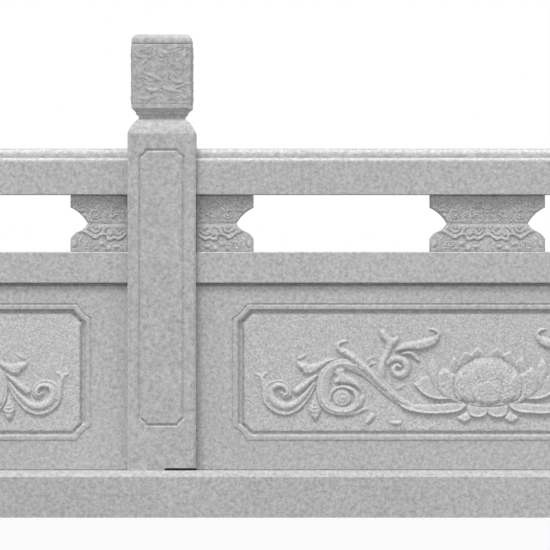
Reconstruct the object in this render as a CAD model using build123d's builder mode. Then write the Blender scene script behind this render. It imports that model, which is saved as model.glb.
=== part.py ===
"""Carved granite balustrade: posts on a ground beam, with carved panels, waisted balusters and a handrail.

The run lies along X, its front faces -Y and it stands on the plane Z = 0. Every stone is its own solid.
Sizes are in millimetres.
"""

import os

from build123d import *

# Run of bays
bay_count = 3
bay_pitch = 1720.0
arris = 3.0
soffit_arris = 1.5
overrun = 10.0

# Ground beam, jointed under the middle of each post
beam_depth = 250.0
beam_height = 123.0
beam_chamfer = 16.0
beam_reveal = 35.0

# Posts: shaft, shoulder and neck
post_width = 180.0
post_arris = 6.0
shaft_height = 887.0
shoulder_height = 40.0
shoulder_bulge = 4.0
neck_width = 122.0
neck_height = 5.0

# Post caps
cap_width = 160.0
cap_arris = 5.0
cap_flare_height = 23.0
cap_fillet_height = 5.0
cap_fillet_inset = 12.0
cap_fillet_lift = 7.0
cap_fillet_step = 2.0
cap_height = 172.0
cap_crown_height = 22.0
cap_crown_inset = 12.0
cap_crown_bulge = 4.0
cap_line_height = 6.0
cap_line_depth = 4.0
cap_field_depth = 5.0
cap_field_border = 6.0
cap_bead_height = 9.0

# Line cut round the face of each shaft
shaft_line_width = 6.0
shaft_line_depth = 5.0
shaft_line_slope = 45.0
shaft_line_margin = 27.0
shaft_line_foot = 114.0
shaft_line_head = 38.0
shaft_notch = 20.0
shaft_notch_ease = 15.0

# Open bed joint under the front of one post
open_joint_post = 2
open_joint_height = 6.0
open_joint_reach = 60.0
open_joint_start = 8.0

# Stub tenons that hold the stones together
foot_tenon_width = 60.0
foot_tenon_length = 30.0
rail_tenon_depth = 50.0
rail_tenon_height = 50.0
panel_tenon_depth = 40.0
panel_tenon_height = 300.0
side_tenon_length = 15.0
tenon_clearance = 0.5

# Carved panel
panel_depth = 104.0
panel_height = 494.0
panel_foot_arris = 2.0
head_quirk_height = 9.0
head_quirk_depth = 8.0
frame_margin_side = 95.0
frame_margin_top = 54.0
frame_margin_foot = 74.0
frame_notch = 38.0
frame_notch_ease = 38.0
quirk_width = 3.0
quirk_depth = 2.5
bead_width = 11.5
bead_slope = 55.0
groove_width = 10.0
groove_depth = 12.0
groove_slope = 28.0
field_depth = 8.0
field_slope = 40.0

# Mid rail
mid_rail_depth = 130.0
mid_rail_height = 82.0

# Balusters
baluster_width = 303.0
baluster_waist_width = 212.0
baluster_depth = 92.0
baluster_waist_depth = 68.0
baluster_foot_height = 34.0
baluster_lower_height = 41.0
baluster_upper_height = 42.0
baluster_head_height = 34.0
baluster_hollow = 8.0
baluster_swell = 3.0

# Handrail: a body with eased shoulders and a narrower crown on top
rail_depth = 130.0
rail_body_height = 97.0
rail_shoulder_round = 12.0
crown_depth = 96.0
crown_height = 25.0
crown_round = 21.0

# Levels that follow from the stack of stones
panel_z = beam_height
mid_rail_z = panel_z + panel_height
baluster_z = mid_rail_z + mid_rail_height
baluster_height = baluster_foot_height + baluster_lower_height + baluster_upper_height + baluster_head_height
rail_z = baluster_z + baluster_height
rail_shoulder_z = rail_z + rail_body_height
rail_top_z = rail_shoulder_z + crown_height
shoulder_z = beam_height + shaft_height
neck_z = shoulder_z + shoulder_height
flare_z = neck_z + neck_height
cap_z = flare_z + cap_flare_height
crown_z = cap_z + cap_height
post_top_z = crown_z + cap_crown_height

# Places along the run
bay_length = bay_pitch - post_width
first_post_x = -bay_count * bay_pitch / 2
post_places = [first_post_x + i * bay_pitch for i in range(bay_count + 1)]
bay_places = [first_post_x + (i + 0.5) * bay_pitch for i in range(bay_count)]
front, right, back, left = 0, 90, 180, 270


def facing(x, angle, out=0):
    """Upright plane at the post or bay centred on x, turned by angle about Z and moved out from the centre.

    Its own x runs to the right as seen from outside, and its own y runs up.
    """
    across = Vector(1, 0, 0).rotate(Axis.Z, angle)
    outward = Vector(0, -1, 0).rotate(Axis.Z, angle)
    return Plane(origin=Vector(x, 0, 0) + outward * out, x_dir=across, z_dir=outward)


def level(x, z):
    """Level plane at height z, centred on x."""
    return Plane(origin=(x, 0, z))


def notched_rectangle(width, height, centre_z, inset, notch, ease=0):
    """Rectangle inset from its frame, with each corner scooped by a circle.

    The circle's centre stands outside the frame's corner by the ease, which flattens the scoop.
    """
    scoop = Vector(notch + ease, ease).length
    with Locations((0, centre_z)):
        Rectangle(width - 2 * inset, height - 2 * inset)
        with GridLocations(width + 2 * ease, height + 2 * ease, 2, 2):
            Circle(scoop + inset, mode=Mode.SUBTRACT)


def shaft_outline():
    """Right half of the shaft, shoulder and neck, closed along the axis."""
    shaft = Polyline((0, beam_height), (post_width / 2, beam_height), (post_width / 2, shoulder_z))
    shoulder = SagittaArc(shaft @ 1, (neck_width / 2, neck_z), -shoulder_bulge)
    Polyline(shoulder @ 1, (neck_width / 2, flare_z), (0, flare_z))


def cap_outline():
    """Right half of the cap: flare with a fillet, body, the line under the crown, and the rounded crown."""
    half = cap_width / 2
    fillet_half = half - cap_fillet_inset
    fillet_z = flare_z + cap_fillet_lift
    body = Polyline(
        (0, flare_z),
        (neck_width / 2, flare_z),
        (fillet_half - cap_fillet_step, fillet_z),
        (fillet_half, fillet_z),
        (fillet_half, fillet_z + cap_fillet_height),
        (half, cap_z),
        (half, crown_z - cap_line_height),
        (half - cap_line_depth, crown_z - cap_line_height / 2),
        (half, crown_z),
    )
    crown = SagittaArc(body @ 1, (half - cap_crown_inset, post_top_z), -cap_crown_bulge)
    Line(crown @ 1, (0, post_top_z))


def square_stone(x, outline, width, corner, base_z, height):
    """Stone of square plan with the same outline on all four sides and chamfered upright corners."""
    with BuildPart() as stone:
        for angle, mode in ((front, Mode.ADD), (right, Mode.INTERSECT)):
            with BuildSketch(facing(x, angle)):
                with BuildLine():
                    outline()
                    mirror(about=Plane.YZ)
                make_face()
            extrude(amount=width, both=True, mode=mode)
        with BuildSketch(level(x, base_z)) as plan:
            Rectangle(width, width)
            chamfer(plan.vertices(), corner)
        extrude(amount=height, mode=Mode.INTERSECT)
    return stone.part


def make_post(number, x):
    """One post: shaft with a line cut round its open faces, tenon, sockets for the bays, and carved cap."""
    first, last = number == 1, number == len(post_places)
    lined_faces = [front, back] + [left] * first + [right] * last
    joined_faces = [right] * (not last) + [left] * (not first)
    line_width = post_width - 2 * shaft_line_margin
    line_height = shaft_height - shaft_line_foot - shaft_line_head
    line_z = beam_height + shaft_line_foot + line_height / 2
    field_height = cap_height - cap_line_height - cap_bead_height
    shaft = square_stone(x, shaft_outline, post_width, post_arris, beam_height, flare_z - beam_height)
    cap = square_stone(x, cap_outline, cap_width, cap_arris, flare_z, post_top_z - flare_z)
    with BuildPart() as post:
        add(shaft)
        add(cap)
        for angle in lined_faces:
            with BuildSketch(facing(x, angle, post_width / 2)):
                notched_rectangle(line_width, line_height, line_z, 0, shaft_notch, shaft_notch_ease)
            extrude(amount=-shaft_line_depth, taper=shaft_line_slope, mode=Mode.SUBTRACT)
            with BuildSketch(facing(x, angle, post_width / 2 - shaft_line_depth)):
                notched_rectangle(
                    line_width, line_height, line_z, shaft_line_width, shaft_notch, shaft_notch_ease
                )
            extrude(amount=shaft_line_depth, taper=shaft_line_slope)
        for angle in (front, right, back, left):
            with BuildSketch(facing(x, angle, cap_width / 2)):
                with Locations((0, cap_z + cap_bead_height + field_height / 2)):
                    Rectangle(cap_width - 2 * cap_field_border, field_height - cap_line_height)
            extrude(amount=-cap_field_depth, mode=Mode.SUBTRACT)
        for angle in joined_faces:
            with BuildSketch(facing(x, angle, post_width / 2)):
                side_tenons(tenon_clearance)
            extrude(amount=-side_tenon_length - tenon_clearance, mode=Mode.SUBTRACT)
        with BuildSketch(level(x, beam_height)):
            Rectangle(foot_tenon_width, foot_tenon_width)
        extrude(amount=-foot_tenon_length)
        if number == open_joint_post:
            with BuildSketch(level(x, beam_height)):
                with Locations((open_joint_start, -post_width / 2 + open_joint_reach)):
                    Rectangle(
                        post_width / 2 - open_joint_start + overrun,
                        open_joint_reach + overrun,
                        align=(Align.MIN, Align.MAX),
                    )
            extrude(amount=open_joint_height, mode=Mode.SUBTRACT)
    return post.part


def side_tenons(clearance):
    """Section of the handrail's and the panel's end tenons, drawn on a post's side face."""
    with Locations((0, rail_z + rail_body_height / 2)):
        Rectangle(rail_tenon_depth + 2 * clearance, rail_tenon_height + 2 * clearance)
    with Locations((0, panel_z + panel_height / 2)):
        Rectangle(panel_tenon_depth + 2 * clearance, panel_tenon_height + 2 * clearance)


def make_ground_beam(number, x):
    """Chamfered beam from post centre to post centre, run on past the post at an end of the run."""
    first, last = number == 1, number == bay_count
    run_on = post_width / 2 + beam_reveal
    start_x = x - bay_pitch / 2 - run_on * first
    length = bay_pitch + run_on * first + run_on * last
    with BuildPart() as beam:
        with BuildSketch(Plane(origin=(start_x, 0, 0), x_dir=(0, 1, 0), z_dir=(1, 0, 0))) as section:
            Rectangle(beam_depth, beam_height, align=(Align.CENTER, Align.MIN))
            chamfer(section.vertices().group_by(Axis.Y)[-1], beam_chamfer)
        extrude(amount=length)
        ends = beam.faces().filter_by(Axis.X).sort_by(Axis.X)
        for end, free in ((ends[0], first), (ends[-1], last)):
            if free:
                chamfer(end.edges().filter_by(lambda edge: edge.center().Z > 0), arris)
        for post_x in (x - bay_pitch / 2, x + bay_pitch / 2):
            with BuildSketch(level(post_x, beam_height)):
                Rectangle(foot_tenon_width + 2 * tenon_clearance, foot_tenon_width + 2 * tenon_clearance)
            extrude(amount=-foot_tenon_length - tenon_clearance, mode=Mode.SUBTRACT)
    return beam.part


def frame_outline(inset):
    """Outline of the panel's frame with scooped corners, inset from the frame's outer edge."""
    length = bay_length - 2 * frame_margin_side
    height = panel_height - frame_margin_top - frame_margin_foot
    centre_z = panel_z + frame_margin_foot + height / 2
    notched_rectangle(length, height, centre_z, inset, frame_notch, frame_notch_ease)


def make_panel(x):
    """Slab with a framed field on both faces, tenoned into the posts, with a quirk under the mid rail.

    The frame is a narrow quirk, a bead, and a groove that slopes down round the field.
    """
    bead_inset = quirk_width + bead_width
    field_inset = bead_inset + groove_width
    with BuildPart() as panel:
        with BuildSketch(level(x, panel_z)):
            Rectangle(bay_length, panel_depth)
        extrude(amount=panel_height)
        chamfer(panel.edges().filter_by(Axis.X).group_by(Axis.Z)[0], panel_foot_arris)
        for angle in (front, back):
            with BuildSketch(facing(x, angle, panel_depth / 2)):
                with Locations((0, mid_rail_z)):
                    Rectangle(bay_length, head_quirk_height, align=(Align.CENTER, Align.MAX))
            extrude(amount=-head_quirk_depth, mode=Mode.SUBTRACT)
            with BuildSketch(facing(x, angle, panel_depth / 2)):
                frame_outline(0)
            extrude(amount=-quirk_depth, mode=Mode.SUBTRACT)
            with BuildSketch(facing(x, angle, panel_depth / 2 - quirk_depth)):
                frame_outline(quirk_width)
            extrude(amount=quirk_depth, taper=bead_slope)
            with BuildSketch(facing(x, angle, panel_depth / 2)):
                frame_outline(bead_inset)
            extrude(amount=-groove_depth, taper=groove_slope, mode=Mode.SUBTRACT)
            with BuildSketch(facing(x, angle, panel_depth / 2 - groove_depth)):
                frame_outline(field_inset)
            extrude(amount=groove_depth - field_depth, taper=field_slope)
        with BuildSketch(level(x, panel_z + panel_height / 2)):
            Rectangle(bay_length + 2 * side_tenon_length, panel_tenon_depth)
        extrude(amount=panel_tenon_height / 2, both=True)
    return panel.part


def make_mid_rail(x):
    """Plain squared rail on top of the panel, with eased long edges."""
    with BuildPart() as rail:
        with BuildSketch(level(x, mid_rail_z)):
            Rectangle(bay_length, mid_rail_depth)
        extrude(amount=mid_rail_height)
        long_edges = rail.edges().filter_by(Axis.X).group_by(Axis.Z)
        chamfer(long_edges[-1], arris)
        chamfer(long_edges[0], soffit_arris)
    return rail.part


def baluster_front(side):
    """Half of a baluster's front outline, on the side given by the sign, closed along its middle."""
    foot_z = baluster_z + baluster_foot_height
    waist_z = foot_z + baluster_lower_height
    head_z = waist_z + baluster_upper_height
    wide, waist = side * baluster_width / 2, side * baluster_waist_width / 2
    turn = ((wide + waist) / 2, (foot_z + waist_z) / 2)
    foot = Polyline((0, rail_z), (0, baluster_z), (wide, baluster_z), (wide, foot_z))
    swell = SagittaArc(foot @ 1, turn, -side * baluster_swell)
    lower = SagittaArc(swell @ 1, (waist, waist_z), side * baluster_swell)
    upper = SagittaArc(lower @ 1, (wide, head_z), side * baluster_hollow)
    Polyline(upper @ 1, (wide, rail_z), (0, rail_z))


def baluster_side():
    """Half of a baluster's outline seen from the end: it narrows to the waist from both beds."""
    waist_z = baluster_z + baluster_foot_height + baluster_lower_height
    Polyline(
        (0, baluster_z),
        (baluster_depth / 2, baluster_z),
        (baluster_waist_depth / 2, waist_z),
        (baluster_depth / 2, rail_z),
        (0, rail_z),
    )


def make_baluster(x, sides):
    """Waisted block; one side gives a half baluster that stands against a post."""
    with BuildPart() as baluster:
        for side in sides:
            with BuildSketch(facing(x, front)):
                with BuildLine():
                    baluster_front(side)
                make_face()
            extrude(amount=baluster_depth, both=True)
        with BuildSketch(facing(x, right)):
            with BuildLine():
                baluster_side()
                mirror(about=Plane.YZ)
            make_face()
        extrude(amount=baluster_width, both=True, mode=Mode.INTERSECT)
    return baluster.part


def make_handrail(x):
    """Rail with rounded shoulders and a crown, tenoned into the posts."""
    half, crown_half = rail_depth / 2, crown_depth / 2
    with BuildPart() as rail:
        with BuildSketch(facing(x, right, -bay_length / 2)) as section:
            with BuildLine():
                side = Polyline(
                    (0, rail_z), (half, rail_z), (half, rail_shoulder_z - rail_shoulder_round)
                )
                shoulder = RadiusArc(
                    side @ 1, (half - rail_shoulder_round, rail_shoulder_z), -rail_shoulder_round
                )
                step = Polyline(
                    shoulder @ 1, (crown_half, rail_shoulder_z), (crown_half, rail_top_z - crown_round)
                )
                crown = RadiusArc(step @ 1, (crown_half - crown_round, rail_top_z), -crown_round)
                Line(crown @ 1, (0, rail_top_z))
                mirror(about=Plane.YZ)
            make_face()
            soffit = section.vertices().group_by(Axis.Y)[0]
            chamfer(soffit.filter_by(lambda v: abs(v.X) > soffit_arris), soffit_arris)
        extrude(amount=bay_length)
        with BuildSketch(level(x, rail_z + rail_body_height / 2)):
            Rectangle(bay_length + 2 * side_tenon_length, rail_tenon_depth)
        extrude(amount=rail_tenon_height / 2, both=True)
    return rail.part


def write(part, name):
    """Labels one stone and writes it as its own file."""
    part.label = name
    export_step(part, f"parts/{name}.step")


os.makedirs("parts", exist_ok=True)
for number, x in enumerate(post_places, 1):
    write(make_post(number, x), f"post_{number}")
for number, x in enumerate(bay_places, 1):
    write(make_ground_beam(number, x), f"ground_beam_{number}")
    write(make_panel(x), f"carved_panel_{number}")
    write(make_mid_rail(x), f"mid_rail_{number}")
    write(make_baluster(x - bay_length / 2, (1,)), f"left_baluster_{number}")
    write(make_baluster(x, (-1, 1)), f"centre_baluster_{number}")
    write(make_baluster(x + bay_length / 2, (-1,)), f"right_baluster_{number}")
    write(make_handrail(x), f"handrail_{number}")
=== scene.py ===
"""Dresses the granite balustrade: stone finishes, carving on panels, caps and balusters, light and camera.

Places are in the model's own frame, in metres. Carvings are laid out in millimetres, and so are the sizes
of the cut stones that they fit.
"""

import math

import bmesh
import bpy
import numpy as np
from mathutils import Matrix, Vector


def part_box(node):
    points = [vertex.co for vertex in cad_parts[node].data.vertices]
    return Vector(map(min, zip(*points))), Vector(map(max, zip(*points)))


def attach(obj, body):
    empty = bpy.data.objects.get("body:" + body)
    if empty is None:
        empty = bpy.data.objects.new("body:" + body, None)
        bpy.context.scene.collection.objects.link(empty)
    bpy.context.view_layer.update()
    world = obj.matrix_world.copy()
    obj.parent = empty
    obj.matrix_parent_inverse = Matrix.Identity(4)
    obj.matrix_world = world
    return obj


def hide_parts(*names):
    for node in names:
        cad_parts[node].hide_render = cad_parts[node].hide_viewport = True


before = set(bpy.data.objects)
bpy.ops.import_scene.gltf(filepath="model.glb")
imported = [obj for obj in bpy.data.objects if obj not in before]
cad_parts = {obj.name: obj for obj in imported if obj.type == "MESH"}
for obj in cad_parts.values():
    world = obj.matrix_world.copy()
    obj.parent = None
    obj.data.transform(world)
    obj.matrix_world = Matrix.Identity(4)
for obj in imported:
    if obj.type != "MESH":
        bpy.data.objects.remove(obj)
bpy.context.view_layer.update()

MM = 0.001
BAYS = (1, 2, 3)
POSTS = (1, 2, 3, 4)

# Sizes of the cut stones that the carvings fit, and of the carved balusters, in millimetres
FIELD_LENGTH, FIELD_HEIGHT = 1294, 310
FIELD_SINK = 8
FIELD_MIDDLE_LIFT = 257
SCOOP_CENTRE = (713, 221)
SCOOP_RADIUS = 113
CAP_FACE_WIDTH, CAP_FACE_HEIGHT = 156, 159
CAP_FIELD_SINK = 5
CAP_FACE_DROP = 104.5
CAP_HALF_WIDTH = 80
BALUSTER_HALF_WIDTH, BALUSTER_WAIST_HALF_WIDTH = 151.5, 106
BALUSTER_HALF_DEPTH, BALUSTER_WAIST_HALF_DEPTH = 46, 41.5
BALUSTER_FOOT, BALUSTER_WAIST, BALUSTER_SHOULDER, BALUSTER_HEIGHT = 34, 75, 117, 151
BALUSTER_SWELL, BALUSTER_HOLLOW = 3, 5
ARRIS = 2

# How finely the carvings are cut, in millimetres, and the share of their triangles that is kept
PANEL_STEP, PANEL_KEPT_SHARE = 1.6, 0.28
CAP_STEP, CAP_KEPT_SHARE = 1.5, 0.45
BALUSTER_STEP, BALUSTER_KEPT_SHARE = 1.4, 0.34
BALUSTER_FACE_STEP = 1.2
BACKING = 4
GROOVE_SHARE, GROOVE_REACH = 0.3, 3.0

# Tooling of the carved faces, in millimetres, with the reach of the painted shade at the ends of the panel
# field; shares of the drawn relief and of the painted shade in its hollows
FIELD_EDGE, FIELD_END_SHADE_REACH = 7, 6.5
FIELD_PIT, HEART_PEBBLE = 0.6, 1.2
FULL_RELIEF = 6
CAP_EDGE, BALUSTER_EDGE, FINE_PIT = 7, 5, 0.3
RELIEF_SHARE = 0.7
HOLLOW_SHADE_SHARE = 0.19


# Smooth lines and cross-sections of carved bands

def smooth_line(points, per_span=14):
    """Places along a smooth line through the given points."""
    points = np.asarray(points, float)
    ends = np.vstack([2 * points[0] - points[1], points, 2 * points[-1] - points[-2]])
    steps = np.linspace(0, 1, per_span, endpoint=False)[:, None]
    spans = []
    for before, start, end, after in zip(ends, ends[1:], ends[2:], ends[3:]):
        spans.append(
            start
            + (end - before) * steps / 2
            + (before - 2.5 * start + 2 * end - after / 2) * steps ** 2
            + (1.5 * (start - end) + (after - before) / 2) * steps ** 3
        )
    return np.vstack(spans + [points[-1:]])


def along(values, count):
    """Spreads a few values evenly along a line of count places."""
    values = np.atleast_1d(np.asarray(values, float))
    return np.interp(np.linspace(0, 1, count), np.linspace(0, 1, len(values)), values)


def rounded(across):
    """Plain rounded roll."""
    return np.clip(1 - across ** 2, 0, 1) ** 0.85


def rolled(across):
    """Scroll band with a full roll on its inner side, a groove and a thin rim on the outer side."""
    roll = np.clip(1 - ((across + 0.34) / 0.66) ** 2, 0, 1) ** 0.6
    rim = 0.62 * np.clip(1 - ((across - 0.76) / 0.24) ** 2, 0, 1) ** 0.6
    floor = 0.45 * np.clip((1 - np.abs(across)) / 0.1, 0, 1)
    return np.maximum(np.maximum(roll, rim), floor)


def slanted(across):
    """Scroll band that leans in from its crest, with a groove and a thin rim on the outer side."""
    stops = (-1, -0.9, 0.1, 0.32, 0.52, 0.74, 0.86, 1)
    return np.interp(across, stops, (0, 0.4, 0.95, 1, 0.62, 0.74, 0.66, 0))


class Carving:
    """A face being carved: a grid of places, and how far the stone stands out at each, in millimetres."""

    def __init__(self, left, right, bottom, top, step):
        self.xs = np.linspace(left, right, round((right - left) / step) + 1)
        self.zs = np.linspace(bottom, top, round((top - bottom) / step) + 1)
        self.x, self.z = np.meshgrid(self.xs, self.zs, indexing="ij")
        self.out = np.zeros_like(self.x)
        # Painted shade, 1 where it is full, taken off the crest attribute.
        self.painted_end_shade = np.zeros_like(self.x)

    def window(self, low, high):
        """Part of the grid between two corners."""
        columns = slice(*np.searchsorted(self.xs, (low[0], high[0])))
        rows = slice(*np.searchsorted(self.zs, (low[1], high[1])))
        return columns, rows

    def lay(self, window, form, outside, groove_share=GROOVE_SHARE):
        """Lays a form over what is there, with a groove cut round its edge."""
        there = self.out[window]
        groove = 1 - groove_share * np.exp(-(outside / GROOVE_REACH) ** 2)
        self.out[window] = np.maximum(np.where(outside > 0, there * groove, there), form)

    def band(self, points, half_widths, heights, section=rounded, outer=1):
        """Lays a band along a smooth line; outer says which side of the line a rim goes on."""
        line = smooth_line(points)
        half_width, height = along(half_widths, len(line)), along(heights, len(line))
        reach = half_width.max() + 3 * GROOVE_REACH
        window = self.window(line.min(axis=0) - reach, line.max(axis=0) + reach)
        off_x = self.x[window][..., None] - line[:, 0]
        off_z = self.z[window][..., None] - line[:, 1]
        away = np.hypot(off_x, off_z)
        nearest = np.argmin(away / half_width, axis=-1)
        pick = nearest[..., None]
        away = np.take_along_axis(away, pick, -1)[..., 0]
        off_x, off_z = (np.take_along_axis(off, pick, -1)[..., 0] for off in (off_x, off_z))
        heading = np.gradient(line, axis=0)[nearest]
        side = np.sign(heading[..., 0] * off_z - heading[..., 1] * off_x) * outer
        across = away / half_width[nearest]
        form = np.where(across < 1, height[nearest] * section(across * side), 0)
        self.lay(window, form, away - half_width[nearest])

    def line(self, points, half_width, depth):
        """Cuts a fine line."""
        path = smooth_line(points)
        reach = 3 * half_width
        window = self.window(path.min(axis=0) - reach, path.max(axis=0) + reach)
        away = np.hypot(self.x[window][..., None] - path[:, 0], self.z[window][..., None] - path[:, 1])
        self.out[window] -= depth * np.exp(-(away.min(axis=-1) / half_width) ** 2)

    def plate(self, outline, height, lean=0.0, lip=0.0, edge=4.0, groove_share=GROOVE_SHARE):
        """Lays a closed form: lean tips its top out, lip raises its lower edge, edge is how far it rounds."""
        line = smooth_line(outline + outline[:1], 24)
        reach = 3 * GROOVE_REACH
        window = self.window(line.min(axis=0) - reach, line.max(axis=0) + reach)
        x, z = self.x[window], self.z[window]
        away = np.hypot(x[..., None] - line[:, 0], z[..., None] - line[:, 1])
        nearest = np.argmin(away, axis=-1)
        away = np.take_along_axis(away, nearest[..., None], -1)[..., 0]
        inside = np.zeros(x.shape, bool)
        for (x0, z0), (x1, z1) in zip(line, line[1:]):
            if z0 != z1:
                inside ^= ((z0 > z) != (z1 > z)) & (x < x0 + (x1 - x0) * (z - z0) / (z1 - z0))
        lift = 2 * (z - line[:, 1].min()) / np.ptp(line[:, 1]) - 1
        above_edge = np.clip((z - line[nearest, 1]) / np.maximum(away, 0.1), 0, 1)
        top = height * (1 + lean * lift) + lip * above_edge * np.exp(-((away - 0.8 * edge) / 2.8) ** 2)
        form = np.where(inside, top * np.sin(np.clip(away / (1.5 * edge), 0, 1) * math.pi / 2) ** 0.8, 0)
        self.lay(window, form, np.where(inside, -away, away), groove_share)

    def mound(self, x, z, half_width, half_height, height, fullness=2.4, groove_share=GROOVE_SHARE):
        """Lays a rounded mound."""
        reach = max(half_width, half_height) + 3 * GROOVE_REACH
        window = self.window((x - reach, z - reach), (x + reach, z + reach))
        away = np.hypot((self.x[window] - x) / half_width, (self.z[window] - z) / half_height)
        form = height * np.clip(1 - away ** fullness, 0, 1) ** 0.55
        self.lay(window, form, (away - 1) * min(half_width, half_height), groove_share)


def softened(values, reach):
    """Values averaged over a square of places, for finding crests and hollows."""
    kernel = np.ones(2 * reach + 1) / (2 * reach + 1)
    for axis in (0, 1):
        first, last = (np.repeat(values.take([end], axis), reach, axis) for end in (0, -1))
        padded = np.concatenate([first, values, last], axis)
        values = np.apply_along_axis(lambda row: np.convolve(row, kernel, "valid"), axis, padded)
    return values


def crests(out, reach=4, full=1.6):
    """1 on crests, -1 in hollows and 0 on plain faces."""
    return np.clip((out - softened(softened(out, reach), reach)) / full, -1, 1)


def pits(shape, seed, reach=1):
    """Even pitting left by a point tool, from -1 to 1."""
    grain = np.random.default_rng(seed).normal(size=shape)
    grain = softened(grain, reach)
    return np.clip(grain / (2.2 * grain.std()), -1, 1)


# Carvings

HEART = (0, -26, 134, 66)


def spiral(x, z, radius, turns, start, count=10):
    """Places along a spiral that winds in to its middle."""
    turn = start + np.linspace(0, 2 * math.pi * turns, count)
    shrink = np.linspace(1, 0.25, count) * radius
    return np.stack([x + shrink * np.cos(turn), z + shrink * np.sin(turn)], axis=-1)


def both_sides(points):
    """Outline from its left half."""
    return points + [(-x, z) for x, z in reversed(points)]


def panel_carving():
    """Lotus between two groups of scrolls, over a pitted field that is plain at its edge."""
    half = Carving(-FIELD_LENGTH / 2, 0, -FIELD_HEIGHT / 2, FIELD_HEIGHT / 2, PANEL_STEP)
    carve_scrolls(half)
    carve_lotus(half)
    whole = Carving(-FIELD_LENGTH / 2, FIELD_LENGTH / 2, -FIELD_HEIGHT / 2, FIELD_HEIGHT / 2, PANEL_STEP)
    mirrored = RELIEF_SHARE * np.vstack([half.out, half.out[-2::-1]])
    whole.xs = np.concatenate([half.xs, -half.xs[-2::-1]])
    whole.x, whole.z = np.meshgrid(whole.xs, whole.zs, indexing="ij")
    inside = np.minimum(FIELD_LENGTH / 2 - np.abs(whole.x), FIELD_HEIGHT / 2 - np.abs(whole.z))
    corner = np.hypot(np.abs(whole.x) - SCOOP_CENTRE[0], np.abs(whole.z) - SCOOP_CENTRE[1]) - SCOOP_RADIUS
    margin = np.clip(np.minimum(inside, corner) / FIELD_EDGE, 0, 1)
    margin = margin ** 2 * (3 - 2 * margin)
    ground = np.where(corner < 0, 0.4 - BACKING, 0.25 + 0.55 * margin)
    worked = np.clip(1 - mirrored / FULL_RELIEF, 0.4, 1)
    heart = 1 - np.hypot((whole.x - HEART[0]) / HEART[2], (whole.z - HEART[1]) / HEART[3])
    pebbled = np.clip(heart / 0.1, 0, 1) * np.clip(mirrored / FULL_RELIEF, 0, 1)
    pebbles = HEART_PEBBLE * pebbled * pits(whole.x.shape, seed=3)
    whole.out = ground + mirrored + FIELD_PIT * margin * worked * pits(whole.x.shape, seed=7) + pebbles
    # Painted shade in the frame's grooves at both ends of the field, fading inward.
    whole.painted_end_shade = np.clip(1.25 - (FIELD_LENGTH / 2 - np.abs(whole.x)) / FIELD_END_SHADE_REACH, 0, 1)
    return whole


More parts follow.
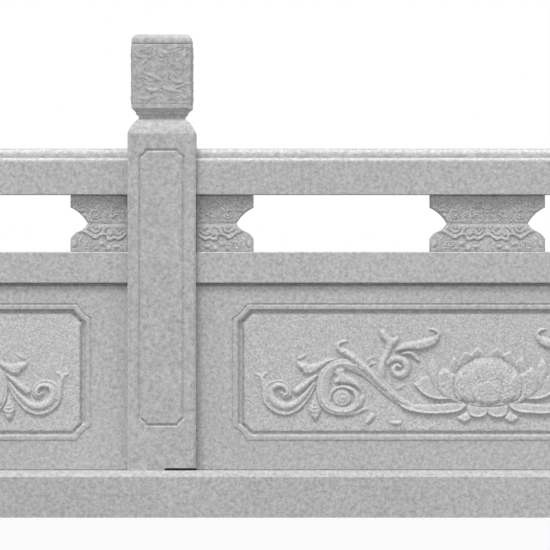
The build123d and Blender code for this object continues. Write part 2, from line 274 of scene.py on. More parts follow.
def carve_scrolls(field):
    """The scrolls and leaves to the left of the lotus."""
    field.band(
        [(-582, -70), (-587, -46), (-594, -22), (-601, -8), (-612, -3)],
        (9, 10, 9, 6, 3), (9, 9, 8, 6, 4),
    )
    field.band([(-596, -18), (-592, -6), (-584, -1)], (5, 5, 3), (7, 6, 4))
    field.band([(-499, 37), (-489, 41), (-480, 47)], (3, 4, 3), (4, 5, 4))
    field.band([(-239, -43), (-230, -38), (-220, -33)], (3, 5, 4), (3, 4, 3))
    field.band([(-323, 24), (-315, 35), (-304, 40)], (3, 4, 3), (3, 4, 3))
    field.band([(-317, 15), (-307, 23), (-296, 25)], (3, 4, 3), (4, 5, 3))
    field.plate(
        [(-308, -104), (-317, -117), (-324, -129), (-319, -137), (-307, -129), (-298, -119), (-299, -110)],
        8,
    )
    field.plate([(-261, -132), (-246, -126), (-227, -129), (-230, -138), (-247, -139)], 7)
    field.plate(
        [
            (-456, -57), (-463, -75), (-472, -91), (-471, -106), (-460, -123), (-452, -124), (-442, -108),
            (-440, -94), (-450, -75),
        ],
        12, edge=5,
    )
    for lift in (-83, -93, -104):
        field.line(
            [(-469, lift), (-463, lift - 4), (-455, lift - 5), (-447, lift - 4), (-442, lift)],
            2.2, 3.2,
        )
    field.band([(-373, -112), (-346, -104), (-317, -94)], (5, 7, 4), (8, 8, 4))
    field.plate(
        [
            (-286, 113), (-272, 114), (-263, 98), (-251, 92), (-237, 98), (-235, 84), (-248, 68),
            (-257, 48), (-267, 22), (-270, -6), (-268, -34), (-258, -56), (-282, -40), (-292, -14),
            (-291, 12), (-284, 38), (-273, 60), (-270, 77), (-283, 93),
        ],
        11, edge=6,
    )
    field.band(
        [
            (-264, 24), (-253, 34), (-236, 37), (-220, 29), (-213, 14), (-219, -1), (-233, -7), (-246, -1),
            (-248, 11), (-240, 19), (-231, 15),
        ],
        (7, 9, 10.5, 11, 11, 11, 10.5, 9, 7.5, 6.5, 5),
        (9, 11, 12, 12.5, 12.5, 12.5, 12, 11.5, 11.5, 11.5, 11),
    )
    field.band([(-225, 50), (-206, 52), (-193, 44), (-184, 32)], (4, 6.5, 6.5, 4), (9, 12, 12, 9))
    field.plate(
        [
            (-246, 54), (-233, 72), (-217, 80), (-196, 84), (-175, 88), (-153, 93), (-135, 98), (-127, 88),
            (-140, 73), (-159, 64), (-180, 59), (-206, 60), (-227, 57),
        ],
        12.5, lean=-0.22, edge=4.5,
    )
    field.band([(-136, 90), (-130, 102), (-139, 112), (-152, 115)], (6, 5, 4.5, 3), (12, 11, 9, 6))
    field.plate(
        [
            (-503, 29), (-484, 27), (-466, 23), (-444, 28), (-426, 37), (-397, 37), (-410, 27), (-431, 17),
            (-447, 6), (-459, -2), (-473, -6), (-487, -4), (-489, 4), (-499, 11), (-505, 20),
        ],
        11, lean=-0.15, edge=6,
    )
    field.line([(-405, 32), (-434, 24), (-458, 15), (-481, 15)], 2, 1.2)
    field.line([(-444, 15), (-463, 6), (-480, 6)], 2, 1.4)
    field.band([(-452, -8), (-469, -21), (-488, -37), (-504, -49)], (4, 9, 10.5, 10.5), (10, 14, 14.5, 13.5))
    field.band(
        [
            (-458, -30), (-473, -53), (-491, -74), (-510, -89), (-532, -96), (-555, -90), (-573, -75),
            (-579, -56), (-573, -40), (-559, -31), (-541, -31), (-529, -41), (-526, -55), (-535, -62),
            (-544, -55),
        ],
        (6, 10, 13, 15.5, 17, 18, 18, 17, 14, 11, 9.5, 9, 8.5, 7, 5),
        (9, 11, 12, 14, 14, 13.5, 13, 12.5, 12.5, 12.5, 13, 13, 12.5, 11, 9), rolled, 1,
    )
    field.band(
        [
            (-196, -91), (-222, -81), (-246, -65), (-270, -43), (-294, -20), (-317, -1), (-341, 11),
            (-365, 19), (-386, 21), (-410, 12), (-427, -6), (-435, -33), (-435, -59), (-427, -82),
            (-409, -96), (-384, -102), (-360, -97), (-341, -84), (-332, -67),
        ],
        (7, 10, 12, 14, 15, 15, 15, 15, 15, 16, 17, 18, 17, 16, 14, 12, 11, 9, 6),
        (8, 10, 11, 12, 13, 13, 13, 13, 12.5, 12, 12, 12, 12.5, 13, 13, 13, 12, 11, 9), slanted, -1,
    )
    field.band(
        [(-394, 61), (-376, 53), (-354, 39), (-333, 21), (-312, 2), (-291, -22), (-270, -45)],
        (7, 10.5, 12, 11, 9.5, 8, 4), (10, 12.5, 14, 14.5, 14.5, 13.5, 11),
    )
    field.band([(-395, 64), (-394, 76), (-384, 81), (-370, 84)], (5, 4.5, 4, 3), (9, 8, 6, 4))
    field.band(
        [
            (-352, -92), (-345, -74), (-349, -54), (-364, -42), (-384, -38), (-402, -43), (-413, -56),
            (-415, -72),
        ],
        (8, 9, 8.5, 7, 6, 5.5, 4.5, 3), (11, 12, 12.5, 13, 13, 12.5, 11, 9),
    )
    field.mound(-385, -67, 26, 25, height=11.5, fullness=3.2, groove_share=0.12)
    field.line(spiral(-384, -67, 17, 1.5, 2.4), 2.4, 3.2)
    field.plate(
        [
            (-405, -1), (-399, 10), (-387, 14), (-377, 9), (-374, -4), (-360, -12), (-343, -26),
            (-333, -50), (-347, -40), (-364, -33), (-384, -30), (-402, -30), (-406, -21), (-400, -12),
        ],
        13.5, lean=-0.1, edge=5.5,
    )
    field.line([(-386, 0), (-380, 2), (-376, -4)], 2.4, 3)


def carve_lotus(field):
    """The left half of the lotus: back petals, side petals, the petals it rests on and the full heart."""
    for left, tip, right in (
        ((-108, -1), (-91, 43), (-71, 20)), ((-82, 20), (-60, 56), (-37, 44)),
        ((-49, 42), (-26, 67), (-2, 42)),
    ):
        foot = ((left[0] + right[0]) / 2, min(left[1], right[1]) - 3)
        field.plate([tip, left, foot, right], 6.5, lean=0.85, edge=2.5)
    field.plate(
        [
            (-145, 40), (-156, 20), (-157, -4), (-147, -30), (-130, -51), (-103, -70), (-103, -38),
            (-122, -4), (-132, 20),
        ],
        9,
    )
    field.plate(
        [
            (-198, -31), (-192, -27), (-175, -15), (-157, -8), (-143, -25), (-122, -47), (-98, -69),
            (-122, -73), (-148, -69), (-175, -55), (-188, -41),
        ],
        6, lean=-0.1, lip=9,
    )
    field.plate(
        [
            (-118, 15), (-130, -6), (-132, -33), (-124, -54), (-103, -71), (-69, -83), (-69, -35),
            (-82, -9), (-98, 3),
        ],
        11, edge=5,
    )
    field.plate(
        [
            (-243, -76), (-222, -83), (-185, -84), (-143, -83), (-101, -80), (-74, -78), (-56, -82),
            (-61, -95), (-82, -106), (-122, -110), (-161, -110), (-201, -104), (-227, -93),
        ],
        8, lip=7.5,
    )
    field.plate([(-62, -134), (-82, -120), (-69, -110), (-56, -105), (-42, -120)], 8.5, lip=2)
    field.plate(
        [
            (-53, -78), (-32, -76), (-11, -78), (1, -83), (1, -106), (-11, -117), (-30, -120), (-48, -113),
            (-55, -96),
        ],
        8, lip=7,
    )
    field.plate(
        both_sides([
            (-13, 40), (-33, 34), (-60, 20), (-81, -4), (-89, -35), (-82, -66), (-56, -80), (-24, -88),
        ]),
        13.5, lean=-0.06, edge=24, groove_share=0.55,
    )
    field.plate(
        [
            (-75, 8), (-86, -17), (-86, -49), (-75, -69), (-53, -79), (-32, -80), (-32, -51), (-38, -29),
            (-56, -9),
        ],
        14.6, edge=9, groove_share=0.07,
    )
    field.plate(
        both_sides([(-11, -15), (-29, -26), (-39, -46), (-40, -66), (-30, -81), (-11, -87)]),
        15.8, edge=9, groove_share=0.07,
    )


def flow_strokes(face, bottom, top, spacing, half_width, height, seed):
    """Short strokes that follow one winding flow, set close over a face."""
    draw = np.random.default_rng(seed)
    stride = 0.42 * spacing
    for row, z in enumerate(np.arange(bottom + spacing / 2, top, spacing)):
        for x in np.arange(face.xs[0] + (row % 2 + 1) * spacing / 2, face.xs[-1], spacing):
            stroke = [np.array([x, z]) + draw.uniform(-spacing, spacing, 2) / 3]
            for _ in range(4):
                across, up = stroke[-1]
                heading = 1.7 * math.sin(across / 31 + 0.4) + 1.5 * math.cos(up / 24 - across / 70) - 0.5
                stroke.append(stroke[-1] + stride * np.array([math.cos(heading), math.sin(heading)]))
            widths = half_width * np.array((0.45, 0.9, 1, 0.9, 0.45))
            face.band(stroke, widths, height * draw.uniform(0.35, 1) * widths / half_width)


def cap_carving():
    """Swirling clouds over one side of a cap: broad strokes among short ones that follow one winding flow."""
    width, height = CAP_FACE_WIDTH / 2, CAP_FACE_HEIGHT / 2
    face = Carving(-width, width, -height, height, CAP_STEP)
    flow_strokes(face, -height, height, spacing=12, half_width=3.6, height=1.9, seed=21)
    for points in (
        [(-41, 1), (-21, -8), (0, -17)], [(-45, -36), (-29, -44), (-13, -41)],
        [(-3, -27), (10, -40), (29, -44), (50, -49)], [(23, -12), (37, -21), (53, -22)],
        [(49, -54), (62, -63), (71, -60)], [(-4, 61), (8, 54), (18, 47)], [(18, 35), (27, 24), (42, 17)],
        [(-66, 0), (-58, -7), (-50, -5)], [(53, 38), (62, 50), (70, 56)],
        [(-60, -62), (-40, -66), (-22, -60)],
    ):
        face.band(points, (3.5, 6.5, 3.5), (1.2, 2.5, 1.2))
    face.band(spiral(31, 19, 11, 1.5, 2.0), (2.4, 3.6, 3.4, 2.6), (1.2, 2, 2, 1.6))
    edge = np.clip(np.minimum(width - np.abs(face.x), height - np.abs(face.z)) / CAP_EDGE, 0, 1)
    ground = CAP_FIELD_SINK - 0.3 + 0.5 * np.minimum(2 * edge, 1)
    face.out = ground + edge * (face.out + FINE_PIT * pits(face.x.shape, seed=11))
    return face


def baluster_carving():
    """Right half of a baluster's face: leaves that hang from the waist over rosettes, with clouds above."""
    face = Carving(0, BALUSTER_HALF_WIDTH, 0, BALUSTER_HEIGHT, BALUSTER_FACE_STEP)
    bosses = (
        (29, 14, 19, 11, 2), (52, 10, 7, 7, 0), (69, 22, 13, 10, 1), (84, 9, 9, 7, 1), (108, 26, 22, 19, 3),
        (140, 22, 9, 16, 1),
    )
    for x, z, wide, high, rings in bosses:
        face.mound(x, z, wide, high, height=3.4, groove_share=0.8)
        for ring in range(rings):
            turn = np.linspace(0, 2 * math.pi, 25)
            out = (0.72 - 0.24 * ring) * (1 + 0.12 * np.cos(6 * turn + ring))
            face.line(np.stack([x + wide * out * np.cos(turn), z + high * out * np.sin(turn)], -1), 1.7, 2.4)
    hem = (
        (0, 40), (5, 42), (14, 35), (25, 29), (35, 33), (46, 29), (57, 30), (58, 42), (69, 43), (77, 38),
        (84, 33), (93, 35), (103, 43), (119, 52), (136, 57), (152, 60),
    )
    hang = face.z - np.interp(face.x, *np.transpose(hem))
    leaves = 2.8 * np.clip(hang / 2 + 0.5, 0, 1) + 0.9 * np.exp(-((hang - 4) / 2.6) ** 2)
    under = face.out * (1 - 0.9 * np.exp(-(np.minimum(hang, 0) / 3) ** 2))
    face.out = np.where(hang > -1, np.maximum(leaves, under), under)
    for fold in (
        [(9, 52), (20, 43), (30, 41), (39, 46)], [(17, 59), (22, 53), (30, 61)],
        [(6, 62), (10, 57), (13, 64)], [(69, 61), (75, 51), (85, 47), (96, 52), (107, 59)],
        [(78, 63), (84, 57), (91, 63)], [(52, 44), (47, 39), (41, 42)], [(60, 50), (56, 58), (48, 62)],
        [(112, 64), (120, 60), (131, 66)],
    ):
        face.line(fold, 1.7, 2.8)
    face.line(hem, 1.3, 1.2)
    face.out *= np.clip((BALUSTER_WAIST - face.z) / BALUSTER_EDGE, 0, 1)
    flow_strokes(face, BALUSTER_WAIST, BALUSTER_HEIGHT, spacing=9, half_width=2, height=2.6, seed=8)
    clouds = (
        spiral(86, 101, 15, 1.7, 2.6), spiral(119, 128, 13, 1.5, 0.4), spiral(54, 126, 11, 1.5, 3.4),
        spiral(20, 130, 10, 1.4, 1.2), [(34, 116), (36, 102), (35, 86)], [(43, 116), (44, 102), (43, 86)],
        [(111, 112), (124, 108), (134, 116)], [(64, 142), (78, 146), (92, 141)],
        [(9, 142), (25, 146), (41, 141)],
    )
    for points in clouds:
        face.band(points, (1.4, 2, 2, 1.9, 1.4), (1.5, 2.9, 2.9, 2.6, 1.5))
    for reach in range(-3, 4):
        across = reach * 8
        face.line([(max(across, 0), 100 + max(-across, 0)), (across + 14, 114), (across + 16, 116)], 1.5, 2)
        face.line([(max(across, 0), 100 - max(-across, 0)), (across + 14, 86), (across + 16, 84)], 1.5, 2)
    above = face.z > BALUSTER_WAIST
    quiet = np.clip((face.z - BALUSTER_WAIST) / BALUSTER_EDGE, 0, 1)
    quiet *= np.clip((BALUSTER_HEIGHT - face.z) / BALUSTER_EDGE, 0, 1)
    face.out = np.where(above, (face.out + 1.2) * quiet, face.out)
    return face


# Meshes

def thinned(mesh, kept_share):
    """The mesh with flat stretches cut to fewer triangles."""
    holder = bpy.data.objects.new("thinning", mesh)
    bpy.context.scene.collection.objects.link(holder)
    thinning = holder.modifiers.new("thinning", "DECIMATE")
    thinning.ratio = kept_share
    bpy.context.view_layer.update()
    result = bpy.data.meshes.new_from_object(holder.evaluated_get(bpy.context.evaluated_depsgraph_get()))
    bpy.data.objects.remove(holder)
    bpy.data.meshes.remove(mesh)
    return result


def nearest_places(values, places):
    """Index of the place nearest to each value, where the places go up evenly."""
    return np.round(np.interp(values, places, np.arange(len(places)))).astype(int)


def carved_mesh(name, carving, kept_share):
    """Closed stone facing from a carving: its front is the carving and its back lies in the stone behind."""
    columns, rows = carving.x.shape
    places = np.stack([carving.x, -carving.out, carving.z], axis=-1).reshape(-1, 3) * MM
    corner = np.arange(columns * rows).reshape(columns, rows)
    quads = np.stack([corner[:-1, :-1], corner[1:, :-1], corner[1:, 1:], corner[:-1, 1:]], axis=-1)
    sheet = bpy.data.meshes.new(name + "_sheet")
    sheet.from_pydata(places.tolist(), [], quads.reshape(-1, 4).tolist())
    mesh = thinned(sheet, kept_share)
    shell = bmesh.new()
    shell.from_mesh(mesh)
    rim = [edge for edge in shell.edges if edge.is_boundary]
    walls = bmesh.ops.extrude_edge_only(shell, edges=rim)["geom"]
    for vertex in [item for item in walls if isinstance(item, bmesh.types.BMVert)]:
        vertex.co.y = BACKING * MM
    back = [edge for edge in shell.edges if edge.is_boundary]
    bmesh.ops.contextual_create(shell, geom=back)
    bmesh.ops.recalc_face_normals(shell, faces=shell.faces)
    shell.to_mesh(mesh)
    shell.free()
    mesh.name = name
    columns_at = nearest_places(vertex_axis(mesh, 0) / MM, carving.xs)
    rows_at = nearest_places(vertex_axis(mesh, 2) / MM, carving.zs)
    crest = crests(carving.out)
    # Painted highlight on crests and painted shade in hollows, less the painted shade at the field's ends.
    crest = np.maximum(crest, 0) + HOLLOW_SHADE_SHARE * np.minimum(crest, 0) - carving.painted_end_shade
    finish_mesh(mesh, crest[columns_at, rows_at])
    return mesh


def vertex_axis(mesh, axis):
    """One coordinate of every vertex."""
    places = np.empty(len(mesh.vertices) * 3)
    mesh.vertices.foreach_get("co", places)
    return places.reshape(-1, 3)[:, axis]


def finish_mesh(mesh, crest):
    """Smooth shading, and the crest attribute from which the material paints highlight on crests and shade in
    hollows.
    """
    mesh.attributes.new("crest", "FLOAT", "POINT").data.foreach_set("value", np.asarray(crest, np.float32))
    mesh.polygons.foreach_set("use_smooth", np.ones(len(mesh.polygons), bool))
    mesh.update()


def arc(start, end, sagitta, count=12):
    """Places along an arc from start to end that bows out to the left of the way by the sagitta."""
    start, end = np.array(start, float), np.array(end, float)
    steps = np.linspace(0, 1, count)[:, None]
    way = end - start
    across = np.array([-way[1], way[0]]) / np.hypot(*way)
    return start + way * steps + across * sagitta * 4 * steps * (1 - steps)


def baluster_half_width(z):
    """Half of a baluster's width at each height."""
    wide, waist = BALUSTER_HALF_WIDTH, BALUSTER_WAIST_HALF_WIDTH
    turn = ((BALUSTER_FOOT + BALUSTER_WAIST) / 2, (wide + waist) / 2)
    outline = np.vstack([
        [(0, wide)],
        arc((BALUSTER_FOOT, wide), turn, BALUSTER_SWELL),
        arc(turn, (BALUSTER_WAIST, waist), -BALUSTER_SWELL),
        arc((BALUSTER_WAIST, waist), (BALUSTER_SHOULDER, wide), -BALUSTER_HOLLOW),
        [(BALUSTER_HEIGHT, wide)],
    ])
    return np.interp(z, outline[:, 0], outline[:, 1])


def baluster_mesh(name, sides):
    """Closed waisted block with carved front and back; one side gives the half that stands against a post."""
    stops = (0, BALUSTER_FOOT, BALUSTER_WAIST, BALUSTER_SHOULDER, BALUSTER_HEIGHT)
    rows = [
        np.linspace(below, above, round((above - below) / BALUSTER_STEP), endpoint=False)
        for below, above in zip(stops, stops[1:])
    ]
    z = np.concatenate(rows + [[BALUSTER_HEIGHT]])
    wide = baluster_half_width(z)
    deep = np.interp(
        z, (0, BALUSTER_WAIST, BALUSTER_HEIGHT),
        (BALUSTER_HALF_DEPTH, BALUSTER_WAIST_HALF_DEPTH, BALUSTER_HALF_DEPTH),
    )
    left = -wide * (-1 in sides)
    right = wide * (1 in sides)
    count = round(BALUSTER_HALF_WIDTH * len(sides) / BALUSTER_STEP)
    share = np.linspace(0, 1, count)
    x = (left + ARRIS)[:, None] + (right - left - 2 * ARRIS)[:, None] * share
    edge = np.minimum(x - left[:, None], right[:, None] - x)
    edge = np.minimum(edge, np.minimum(z, BALUSTER_HEIGHT - z)[:, None] + ARRIS)
    fade = np.clip((edge - ARRIS) / BALUSTER_EDGE, 0, 1)
    column = nearest_places(np.abs(x), BALUSTER_FACE.xs)
    row = nearest_places(z, BALUSTER_FACE.zs)
    out = (BALUSTER_FACE.out[column, row[:, None]] + FINE_PIT * pits(x.shape, seed=5)) * fade
    side_count = round(BALUSTER_HALF_DEPTH / BALUSTER_STEP)
    side_share = np.linspace(-1, 1, side_count)
    side_y = (deep - ARRIS)[:, None] * side_share
    front = np.stack([x, -deep[:, None] - out], -1)
    back = np.stack([x[:, ::-1], deep[:, None] + out[:, ::-1]], -1)
    right_side = np.stack([np.repeat(right[:, None], side_count, 1), side_y], -1)
    left_side = np.stack([np.repeat(left[:, None], side_count, 1), side_y[:, ::-1]], -1)
    ring = np.concatenate([front, right_side, back, left_side], axis=1)
    around = ring.shape[1]
    places = np.concatenate([ring, np.repeat(z[:, None, None], around, 1)], axis=-1).reshape(-1, 3) * MM
    corner = np.arange(len(z) * around).reshape(len(z), around)
    onward = np.roll(corner, -1, axis=1)
    quads = np.stack([corner[:-1], onward[:-1], onward[1:], corner[1:]], axis=-1).reshape(-1, 4).tolist()
    block = bpy.data.meshes.new(name + "_block")
    block.from_pydata(places.tolist(), [], quads + [corner[0, ::-1].tolist(), corner[-1].tolist()])
    mesh = thinned(block, BALUSTER_KEPT_SHARE)
    mesh.name = name
    heights, widths = vertex_axis(mesh, 2) / MM, vertex_axis(mesh, 0) / MM
    row_at = nearest_places(heights, z)
    reach = np.clip((widths - left[row_at]) / (right - left)[row_at], 0, 1)
    on_face = np.abs(vertex_axis(mesh, 1)) / MM > deep[row_at] - ARRIS
    # The crest attribute drives painted highlight on crests and painted shade in hollows.
    crest = crests(out, 3, 0.9)[row_at, np.round(reach * (count - 1)).astype(int)]
    finish_mesh(mesh, crest * on_face)
    return mesh


def place(name, mesh, at, turn=0.0):
    """Puts a carved piece in its place on the balustrade."""
    piece = bpy.data.objects.new(name, mesh)
    piece.location = at
    piece.rotation_euler = (0, 0, turn)
    bpy.context.scene.collection.objects.link(piece)
    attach(piece, "root")
    return piece


def box_middle(low, high):
    """Middle of a box."""
    return [(a + b) / 2 for a, b in zip(low, high)]


# Stone finishes, with the scales of their noises in cells to the metre

CRYSTAL_SCALE, BLOTCH_SCALE, SAND_SCALE, FLECK_SCALE = 260, 95, 330, 520
CLOUD_SCALE, TOOLING_SCALE = 2.6, 700
NOISE_LOW, NOISE_HIGH = 0.3, 0.7
BUMP_DISTANCE = 0.002


def new_group(name, inputs, outputs):
    """Empty shader group with named sockets; returns the group with its inside ends."""
    group = bpy.data.node_groups.new(name, "ShaderNodeTree")
    for socket, kind, value in inputs:
        made = group.interface.new_socket(socket, in_out="INPUT", socket_type=kind)
        made.default_value = value
    for socket, kind in outputs:
        group.interface.new_socket(socket, in_out="OUTPUT", socket_type=kind)
    return group, group.nodes.new("NodeGroupInput"), group.nodes.new("NodeGroupOutput")


def math_node(tree, operation, first, second):
    """Math node fed by sockets or numbers; returns its result."""
    node = tree.nodes.new("ShaderNodeMath")
    node.operation = operation
    for socket, value in zip(node.inputs, (first, second)):
        if isinstance(value, (int, float)):
            socket.default_value = value
        else:
            tree.links.new(value, socket)
    return node.outputs[0]


def ranged(tree, value, low, high, to_low, to_high):
    """Value moved from one range to another, kept inside it."""
    node = tree.nodes.new("ShaderNodeMapRange")
    tree.links.new(value, node.inputs["Value"])
    for socket, number in zip(("From Min", "From Max", "To Min", "To Max"), (low, high, to_low, to_high)):
        node.inputs[socket].default_value = number
    return node.outputs["Result"]


def noise(tree, places, scale, detail=2.0):
    """Noise over the stone."""
    node = tree.nodes.new("ShaderNodeTexNoise")
    tree.links.new(places, node.inputs["Vector"])
    node.inputs["Scale"].default_value = scale
    node.inputs["Detail"].default_value = detail
    return node.outputs["Fac"]


def scale_color(group, ends_in, ends_out, factor):
    """Gives out the colour that goes into a group, times a factor."""
    scaled = group.nodes.new("ShaderNodeVectorMath")
    scaled.operation = "SCALE"
    group.links.new(ends_in.outputs["Color"], scaled.inputs["Vector"])
    group.links.new(factor, scaled.inputs["Scale"])
    group.links.new(scaled.outputs["Vector"], ends_out.inputs["Color"])


def granite_grain_group():
    """Crystals, dark flecks and broad clouding of a fine grey granite."""
    group, ends_in, ends_out = new_group(
        "granite grain",
        [("Contrast", "NodeSocketFloat", 1.0), ("Sandy", "NodeSocketFloat", 0.0)],
        [("Shade", "NodeSocketFloat"), ("Sparkle", "NodeSocketFloat"), ("Height", "NodeSocketFloat")],
    )
    places = group.nodes.new("ShaderNodeTexCoord").outputs["Object"]
    crystals = group.nodes.new("ShaderNodeTexVoronoi")
    crystals.inputs["Scale"].default_value = CRYSTAL_SCALE
    group.links.new(places, crystals.inputs["Vector"])
    split = group.nodes.new("ShaderNodeSeparateColor")
    group.links.new(crystals.outputs["Color"], split.inputs["Color"])
    crystal = ranged(group, split.outputs["Red"], 0, 1, -0.13, 0.13)
    broad = ranged(group, noise(group, places, BLOTCH_SCALE), NOISE_LOW, NOISE_HIGH, -0.16, 0.16)
    sand = ranged(group, noise(group, places, SAND_SCALE, 1.0), NOISE_LOW, NOISE_HIGH, -0.27, 0.27)
    sandy = ends_in.outputs["Sandy"]
    blotch = math_node(group, "ADD", math_node(group, "MULTIPLY", sand, sandy),
                       math_node(group, "MULTIPLY", broad, math_node(group, "SUBTRACT", 1.0, sandy)))
    fleck = ranged(group, noise(group, places, FLECK_SCALE, 1.0), 0.66, 0.74, 0, -0.24)
    cloud = ranged(group, noise(group, places, CLOUD_SCALE, 3.0), NOISE_LOW, NOISE_HIGH, -0.035, 0.035)
    speckle = math_node(group, "ADD", crystal, blotch)
    mixed = math_node(group, "ADD", speckle, math_node(group, "ADD", fleck, cloud))
    shade = math_node(group, "ADD", math_node(group, "MULTIPLY", mixed, ends_in.outputs["Contrast"]), 1.0)
    group.links.new(shade, ends_out.inputs["Shade"])
    group.links.new(split.outputs["Green"], ends_out.inputs["Sparkle"])
    tooling = ranged(group, noise(group, places, TOOLING_SCALE), NOISE_LOW, NOISE_HIGH, -0.2, 0.2)
    group.links.new(math_node(group, "ADD", blotch, tooling), ends_out.inputs["Height"])
    return group


def painted_relief_light_group():
    """Painted shade that darkens the hollows of carving, and painted highlight that makes crests paler."""
    group, ends_in, ends_out = new_group(
        "painted hollow shade and crest highlight",
        [("Color", "NodeSocketColor", (0.45, 0.45, 0.45, 1)), ("Shade", "NodeSocketFloat", 1.0),
         ("Depth", "NodeSocketFloat", 0.25), ("Rub", "NodeSocketFloat", 0.12)],
        [("Color", "NodeSocketColor")],
    )
    crest = group.nodes.new("ShaderNodeAttribute")
    crest.attribute_name = "crest"
    hollow = ranged(group, crest.outputs["Fac"], -1, 0, 1, 0)
    on_crest = ranged(group, crest.outputs["Fac"], 0, 1, 0, 1)
    darker = math_node(group, "MULTIPLY", hollow, ends_in.outputs["Depth"])
    paler = math_node(group, "MULTIPLY", on_crest, ends_in.outputs["Rub"])
    change = math_node(group, "ADD", math_node(group, "SUBTRACT", 1.0, darker), paler)
    factor = math_node(group, "MULTIPLY", change, ends_in.outputs["Shade"])
    scale_color(group, ends_in, ends_out, factor)
    return group


def arris_highlight_group():
    """Arris faces made paler, partly as painted highlight and partly as bruised wear: faces that slope
    between the squared faces of a stone.
    """
    group, ends_in, ends_out = new_group(
        "arris highlight and wear",
        [("Color", "NodeSocketColor", (0.45, 0.45, 0.45, 1)), ("Paler", "NodeSocketFloat", 0.2)],
        [("Color", "NodeSocketColor")],
    )
    normal = group.nodes.new("ShaderNodeNewGeometry").outputs["True Normal"]
    size = group.nodes.new("ShaderNodeVectorMath")
    size.operation = "ABSOLUTE"
    group.links.new(normal, size.inputs[0])
    axes = group.nodes.new("ShaderNodeSeparateXYZ")
    group.links.new(size.outputs["Vector"], axes.inputs[0])
    squarest = math_node(group, "MAXIMUM", axes.outputs["X"], axes.outputs["Y"])
    squarest = math_node(group, "MAXIMUM", squarest, axes.outputs["Z"])
    sloped = ranged(group, squarest, 0.96, 0.78, 0, 1)
    factor = math_node(group, "ADD", math_node(group, "MULTIPLY", sloped, ends_in.outputs["Paler"]), 1.0)
    scale_color(group, ends_in, ends_out, factor)
    return group


def group_node(tree, group, **values):
    """Node that runs a shader group, with some of its inputs set."""
    node = tree.nodes.new("ShaderNodeGroup")
    node.node_tree = group
    for socket, value in values.items():
        node.inputs[socket].default_value = value
    return node


def granite(name, gray, contrast=1.0, bump=0.25, sandy=0.0, depth=0.0, crest_highlight=0.0, paler=0.0):
    """Granite finish: grain, painted shade in hollows and painted highlight on crests, arris faces made paler
    as painted highlight and wear, and a fine tooled surface.
    """
    material = bpy.data.materials.new(name)
    material.use_nodes = True
    tree = material.node_tree
    shader = tree.nodes["Principled BSDF"]
    grain = group_node(tree, GRAIN, Contrast=contrast, Sandy=sandy)
    # Painted shade in the hollows and painted highlight on the crests, read from the crest attribute.
    relief_light_node = group_node(tree, PAINTED_RELIEF_LIGHT, Color=(gray, gray, gray, 1), Depth=depth, Rub=crest_highlight)
    tree.links.new(grain.outputs["Shade"], relief_light_node.inputs["Shade"])
    tree.links.new(relief_light_node.outputs["Color"], shader.inputs["Base Color"])
    if paler:
        # Sloped arris faces made paler: partly painted highlight, partly bruised wear.
        arrises = group_node(tree, ARRIS_HIGHLIGHT, Paler=paler)
        tree.links.new(relief_light_node.outputs["Color"], arrises.inputs["Color"])
        tree.links.new(arrises.outputs["Color"], shader.inputs["Base Color"])
    tree.links.new(ranged(tree, grain.outputs["Sparkle"], 0, 1, 0.62, 0.86), shader.inputs["Roughness"])
    relief = tree.nodes.new("ShaderNodeBump")
    relief.inputs["Strength"].default_value = bump
    relief.inputs["Distance"].default_value = BUMP_DISTANCE
    tree.links.new(grain.outputs["Height"], relief.inputs["Height"])
    tree.links.new(relief.outputs["Normal"], shader.inputs["Normal"])
    shader.inputs["Specular IOR Level"].default_value = 0.3
    return material


GRAIN = granite_grain_group()
PAINTED_RELIEF_LIGHT = painted_relief_light_group()
ARRIS_HIGHLIGHT = arris_highlight_group()
# Carved faces: painted shade in their hollows and painted highlight on their crests.
pitted_granite = granite("pitted granite", 0.472, contrast=1.15, bump=0.5, sandy=0.7, depth=0.42, crest_highlight=0.12)
carved_granite = granite("carved granite", 0.41, contrast=1.2, bump=0.4, sandy=0.6, depth=0.2, crest_highlight=0.14)
weathered_granite = granite("weathered granite", 0.37, contrast=1.1, bump=0.4, depth=0.3, crest_highlight=0.1)
dressed_granite = granite("dressed granite", 0.415, paler=0.08)
stones = {
    "post": granite("post granite", 0.395, paler=0.08),
    "ground_beam": granite("beam granite", 0.402, paler=0.04),
    "ground_beam_1": granite("dark beam granite", 0.385, paler=0.08),
    # The handrail's crown roll gets the strongest painted highlight.
    "handrail": granite("handrail granite with painted arris highlight", 0.406, paler=0.3),
}

for name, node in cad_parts.items():
    kind = name.rsplit("_", 1)[0]
    node.data.materials.clear()
    node.data.materials.append(stones.get(name, stones.get(kind, dressed_granite)))


# Carved pieces

BALUSTER_FACE = baluster_carving()
panel_face = carved_mesh("panel_carving", panel_carving(), PANEL_KEPT_SHARE)
cap_face = carved_mesh("cap_carving", cap_carving(), CAP_KEPT_SHARE)
balusters = {
    "left": baluster_mesh("left_baluster_block", (1,)),
    "centre": baluster_mesh("centre_baluster_block", (-1, 1)),
    "right": baluster_mesh("right_baluster_block", (-1,)),
}
panel_face.materials.append(pitted_granite)
cap_face.materials.append(weathered_granite)
for mesh in balusters.values():
    mesh.materials.append(carved_granite)

for bay in BAYS:
    low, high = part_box(f"carved_panel_{bay}")
    middle = box_middle(low, high)
    lift = low[2] + FIELD_MIDDLE_LIFT * MM
    place(f"panel_carving_front_{bay}", panel_face, (middle[0], low[1] + FIELD_SINK * MM, lift))
    place(f"panel_carving_back_{bay}", panel_face, (middle[0], high[1] - FIELD_SINK * MM, lift), math.pi)
    for side, mesh in balusters.items():
        low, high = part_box(f"{side}_baluster_{bay}")
        across = {"left": low[0], "centre": (low[0] + high[0]) / 2, "right": high[0]}[side]
        block = place(f"{side}_baluster_block_{bay}", mesh, (across, (low[1] + high[1]) / 2, low[2]))
        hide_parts(f"{side}_baluster_{bay}")

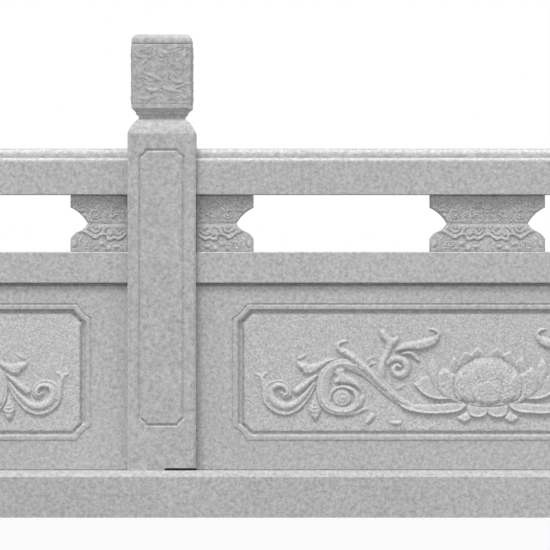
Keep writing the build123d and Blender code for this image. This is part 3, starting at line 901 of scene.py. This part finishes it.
for post in POSTS:
    low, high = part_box(f"post_{post}")
    middle = box_middle(low, high)
    out = (CAP_HALF_WIDTH - CAP_FIELD_SINK) * MM
    for quarter in range(4):
        turn = quarter * math.pi / 2
        across, along_depth = middle[0] + out * math.sin(turn), middle[1] - out * math.cos(turn)
        lift = high[2] - CAP_FACE_DROP * MM
        place(f"cap_carving_{post}_{quarter + 1}", cap_face, (across, along_depth, lift), turn)


# Floor, light and camera

def camera_white(tree, shader_in, other, strength):
    """Shows plain white to the camera, mirrors and glass, and another shader to the rest of the light."""
    path = tree.nodes.new("ShaderNodeLightPath")
    seen = math_node(tree, "MAXIMUM", path.outputs["Is Camera Ray"], path.outputs["Is Glossy Ray"])
    seen = math_node(tree, "MAXIMUM", seen, path.outputs["Is Transmission Ray"])
    mix = tree.nodes.new("ShaderNodeMixShader")
    tree.links.new(math_node(tree, "MULTIPLY", seen, strength), mix.inputs[0])
    tree.links.new(other, mix.inputs[1])
    white = tree.nodes.new("ShaderNodeEmission")
    white.inputs["Color"].default_value = (1, 1, 1, 1)
    tree.links.new(white.outputs[0], mix.inputs[2])
    tree.links.new(mix.outputs[0], shader_in)


SKY_STRENGTH = 1.08
SUN_STRENGTH = 2.05
SUN_ELEVATION, SUN_TO_RIGHT = math.radians(61), math.radians(-20)
SUN_SPREAD = math.radians(18)

world = bpy.data.worlds.new("studio")
bpy.context.scene.world = world
world.use_nodes = True
sky = world.node_tree.nodes["Background"]
sky.inputs["Color"].default_value = (1, 1, 1, 1)
sky.inputs["Strength"].default_value = SKY_STRENGTH
camera_white(world.node_tree, world.node_tree.nodes["World Output"].inputs["Surface"], sky.outputs[0], 1.0)

FLOOR_REACH = 40
FLOOR_GRAY = 0.3
FLOOR_WHITE_SHARE = 0.93
floor_mesh = bpy.data.meshes.new("floor")
floor_corners = [(x * FLOOR_REACH, y * FLOOR_REACH, 0) for x, y in ((-1, -1), (1, -1), (1, 1), (-1, 1))]
floor_mesh.from_pydata(floor_corners, [], [(0, 1, 2, 3)])
floor = bpy.data.objects.new("floor", floor_mesh)
bpy.context.scene.collection.objects.link(floor)
pale = bpy.data.materials.new("pale floor")
pale.use_nodes = True
paint = pale.node_tree.nodes["Principled BSDF"]
paint.inputs["Base Color"].default_value = (FLOOR_GRAY, FLOOR_GRAY, FLOOR_GRAY, 1)
paint.inputs["Roughness"].default_value = 1.0
floor_surface = pale.node_tree.nodes["Material Output"].inputs["Surface"]
camera_white(pale.node_tree, floor_surface, paint.outputs[0], FLOOR_WHITE_SHARE)
floor_mesh.materials.append(pale)

sun_light = bpy.data.lights.new("sun", "SUN")
sun_light.energy = SUN_STRENGTH
sun_light.angle = SUN_SPREAD
sun = bpy.data.objects.new("sun", sun_light)
sun.rotation_euler = (math.pi / 2 - SUN_ELEVATION, 0, SUN_TO_RIGHT)
bpy.context.scene.collection.objects.link(sun)

CAMERA_DISTANCE = 16.0
CAMERA_FROM_POST = 0.2985
CAMERA_HEIGHT = 0.6377
VIEW_WIDTH = 1.4482
post_low, post_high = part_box("post_2")
lens = bpy.data.cameras.new("camera")
lens.sensor_width = 36
lens.lens = lens.sensor_width * CAMERA_DISTANCE / VIEW_WIDTH
camera = bpy.data.objects.new("camera", lens)
camera.location = (
    (post_low[0] + post_high[0]) / 2 + CAMERA_FROM_POST, post_low[1] - CAMERA_DISTANCE, CAMERA_HEIGHT
)
camera.rotation_euler = (math.pi / 2, 0, 0)
bpy.context.scene.collection.objects.link(camera)
bpy.context.scene.camera = camera
bpy.context.scene.view_settings.view_transform = "Standard"
